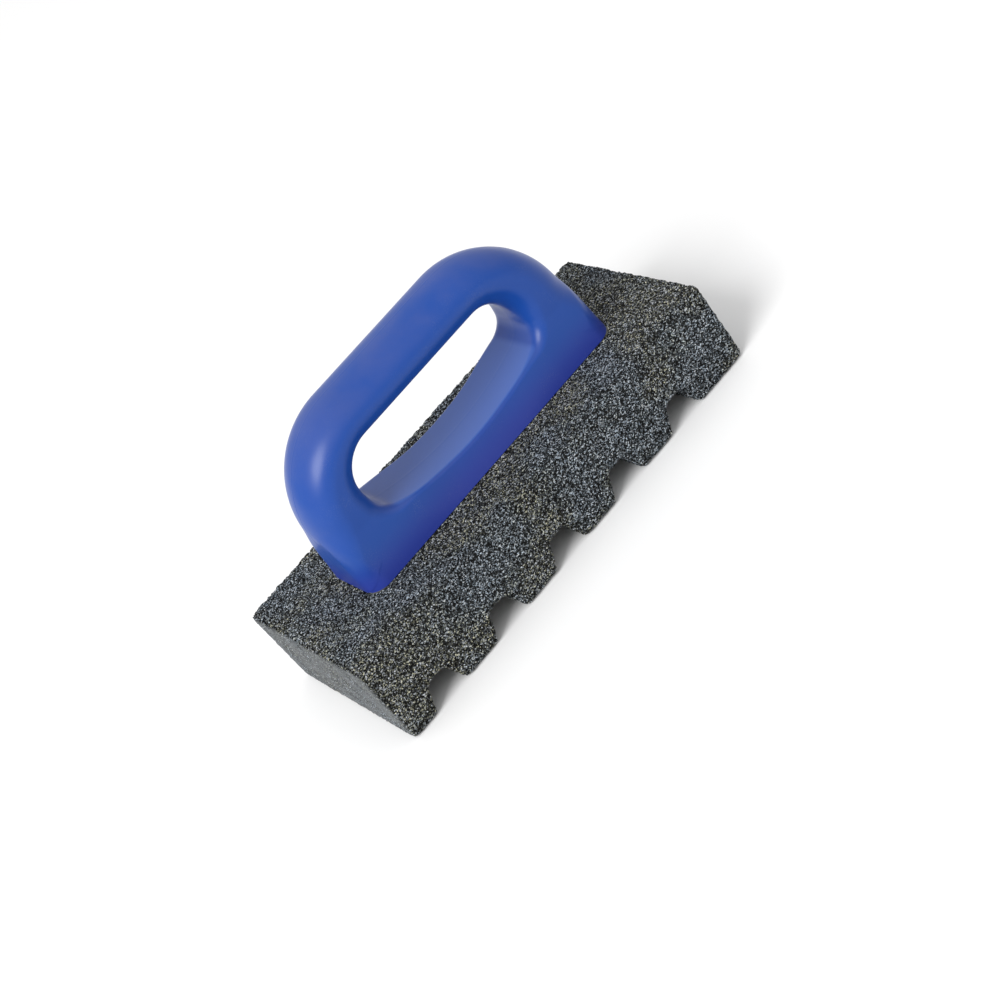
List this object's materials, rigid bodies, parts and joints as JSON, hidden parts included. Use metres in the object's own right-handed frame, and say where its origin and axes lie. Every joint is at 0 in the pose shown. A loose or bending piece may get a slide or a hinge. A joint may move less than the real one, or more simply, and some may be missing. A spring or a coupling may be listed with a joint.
{
  "type": "fluted rubbing brick",
  "caption": "Coarse silicon-carbide rubbing brick with flutes across its working face and a moulded loop handle on its back, for rubbing down concrete and masonry.",
  "frame": {"origin": "centre of the rubbing brick's working face, in the plane of the lands between the flutes", "axes": "+X along the brick, towards the end with the wider plain land; +Y across the brick; +Z out of the brick's back, towards the handle"},
  "size_m": [0.2032, 0.089, 0.1049],
  "materials": {
    "vitrified_abrasive": "coarse open grain, matt",
    "handle_plastic": "semi-gloss moulded",
    "bedding_epoxy": "dull, cured",
    "insert_brass": "turned",
    "plated_steel": "zinc plated"
  },
  "bodies": {
    "root": {"abrasive_brick": "vitrified_abrasive", "handle": "handle_plastic", "handle_bedding": "bedding_epoxy", "threaded_inserts": "insert_brass", "handle_screws": "plated_steel", "screw_washers": "plated_steel"}
  },
  "joints": []
}
